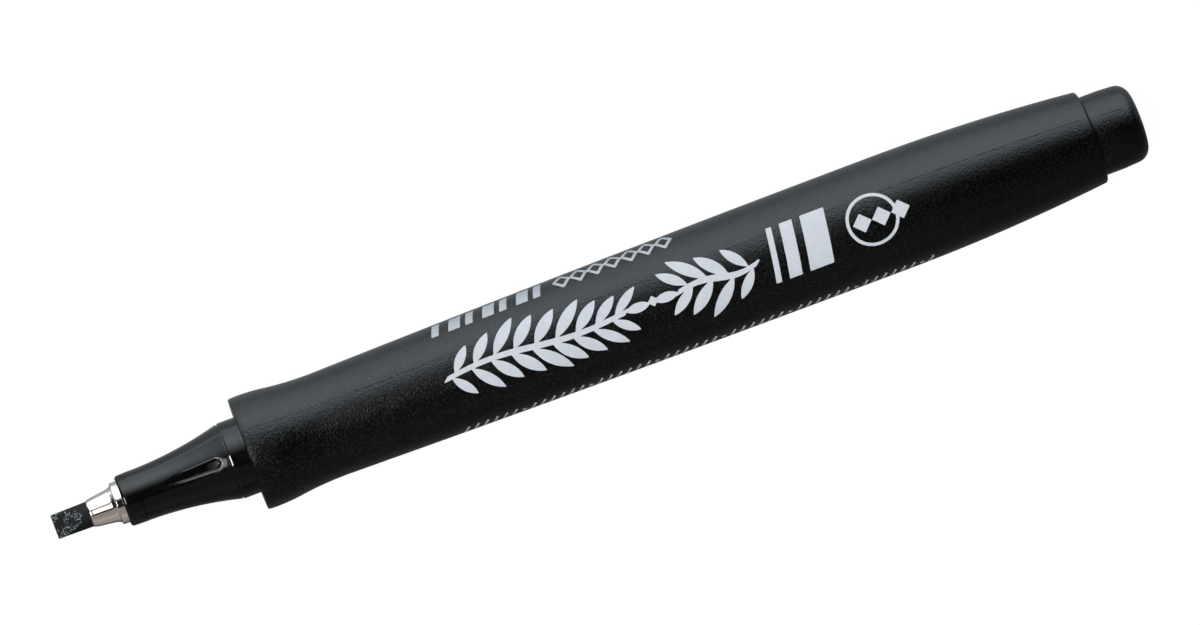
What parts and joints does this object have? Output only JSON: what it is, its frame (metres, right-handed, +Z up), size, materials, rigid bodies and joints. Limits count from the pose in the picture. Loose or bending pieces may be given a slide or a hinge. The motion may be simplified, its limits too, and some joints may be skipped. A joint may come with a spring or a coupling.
{
  "type": "calligraphy marker",
  "caption": "Uncapped fibre-tip calligraphy marker with a chisel nib in a metal ferrule, a flared front section, a waisted barrel and a plugged rear.",
  "frame": {"origin": "under the middle of the pen's length, on the surface that it lies on", "axes": "+X along the pen towards its rear plug, with the nib at -X; +Z up, out of the surface that the pen lies on; the nib's two facets face up and down"},
  "size_m": [0.1378, 0.014, 0.0141],
  "materials": {
    "nib_fibre": "bonded fibre soaked with black ink, speckled where it is cut",
    "plated_metal": "bright nickel plating",
    "natural_plastic": "natural polypropylene, as moulded",
    "gloss_black_plastic": "polished mould, high gloss",
    "matte_black_plastic": "fine spark-eroded texture, matte",
    "reservoir_fibre": "bundled polyester fibre, full of black ink",
    "clear_film": "clear polypropylene film",
    "white_print": "thin white pad-printed ink"
  },
  "bodies": {
    "pen_body": {"barrel": "matte_black_plastic", "grip_section": "gloss_black_plastic", "ferrule": "plated_metal", "nib_bush": "natural_plastic", "ink_reservoir": "reservoir_fibre", "reservoir_film": "clear_film"},
    "nib": {"nib": "nib_fibre"},
    "end_plug": {"end_plug": "matte_black_plastic"}
  },
  "joints": [
    {"name": "nib_pull", "type": "slide", "parent": "pen_body", "child": "nib", "axis": [-1, 0, 0], "range_m": [0, 0.0385]},
    {"name": "plug_pull", "type": "slide", "parent": "pen_body", "child": "end_plug", "axis": [1, 0, 0], "range_m": [0, 0.0115]}
  ]
}
